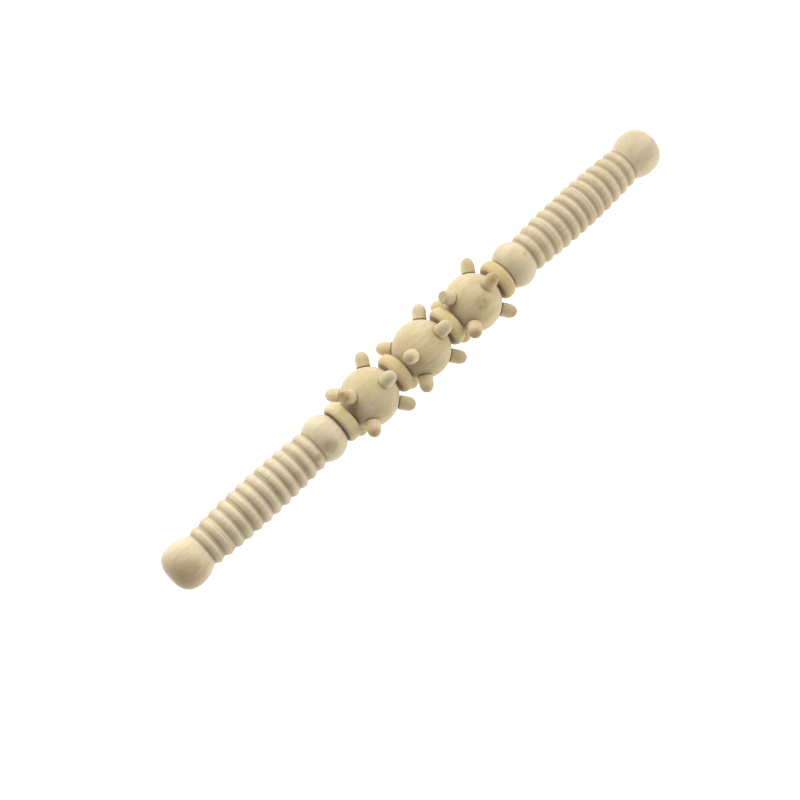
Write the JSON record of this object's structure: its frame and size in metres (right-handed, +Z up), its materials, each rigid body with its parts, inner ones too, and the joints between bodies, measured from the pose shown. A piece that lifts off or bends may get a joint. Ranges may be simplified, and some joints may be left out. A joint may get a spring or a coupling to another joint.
{
  "type": "foot massage roller",
  "caption": "Wooden foot massage stick: pegged balls and spacer rings turn freely on an axle between two ribbed handles with round end knobs.",
  "frame": {"origin": "on the surface the stick lies on, under the middle of the stick's length", "axes": "+X along the axle towards the right handle, +Y away from the front side, +Z up"},
  "size_m": [0.33, 0.0383, 0.0387],
  "materials": {
    "handle_wood": "fine-sanded, unvarnished",
    "axle_wood": "fine-sanded, unvarnished",
    "ring_wood": "fine-sanded, unvarnished",
    "ball_wood": "fine-sanded, unvarnished",
    "peg_wood": "fine-sanded, unvarnished"
  },
  "bodies": {
    "root": {"axle": "axle_wood", "handle_left": "handle_wood", "handle_right": "handle_wood"},
    "ring_outer_left": {"ring_outer_left": "ring_wood"},
    "ring_inner_left": {"ring_inner_left": "ring_wood"},
    "ring_inner_right": {"ring_inner_right": "ring_wood"},
    "ring_outer_right": {"ring_outer_right": "ring_wood"},
    "ball_left": {"ball_left": "ball_wood", "peg_left_1": "peg_wood", "peg_left_2": "peg_wood", "peg_left_3": "peg_wood", "peg_left_4": "peg_wood", "peg_left_5": "peg_wood", "peg_left_6": "peg_wood", "peg_left_7": "peg_wood", "peg_left_8": "peg_wood"},
    "ball_middle": {"ball_middle": "ball_wood", "peg_middle_1": "peg_wood", "peg_middle_2": "peg_wood", "peg_middle_3": "peg_wood", "peg_middle_4": "peg_wood", "peg_middle_5": "peg_wood", "peg_middle_6": "peg_wood", "peg_middle_7": "peg_wood", "peg_middle_8": "peg_wood"},
    "ball_right": {"ball_right": "ball_wood", "peg_right_1": "peg_wood", "peg_right_2": "peg_wood", "peg_right_3": "peg_wood", "peg_right_4": "peg_wood", "peg_right_5": "peg_wood", "peg_right_6": "peg_wood", "peg_right_7": "peg_wood", "peg_right_8": "peg_wood"}
  },
  "joints": [
    {"name": "ring_outer_left_turn", "type": "hinge", "parent": "root", "child": "ring_outer_left", "pos_m": [-0.0534, 0, 0.01883], "axis": [1, 0, 0], "continuous": true},
    {"name": "ring_inner_left_turn", "type": "hinge", "parent": "root", "child": "ring_inner_left", "pos_m": [-0.0174, 0, 0.01883], "axis": [1, 0, 0], "continuous": true},
    {"name": "ring_inner_right_turn", "type": "hinge", "parent": "root", "child": "ring_inner_right", "pos_m": [0.0182, 0, 0.01883], "axis": [1, 0, 0], "continuous": true},
    {"name": "ring_outer_right_turn", "type": "hinge", "parent": "root", "child": "ring_outer_right", "pos_m": [0.0538, 0, 0.01883], "axis": [1, 0, 0], "continuous": true},
    {"name": "ball_left_turn", "type": "hinge", "parent": "root", "child": "ball_left", "pos_m": [-0.0352, 0, 0.01883], "axis": [1, 0, 0], "continuous": true},
    {"name": "ball_middle_turn", "type": "hinge", "parent": "root", "child": "ball_middle", "pos_m": [0.0004, 0, 0.01883], "axis": [1, 0, 0], "continuous": true},
    {"name": "ball_right_turn", "type": "hinge", "parent": "root", "child": "ball_right", "pos_m": [0.036, 0, 0.01883], "axis": [1, 0, 0], "continuous": true}
  ]
}
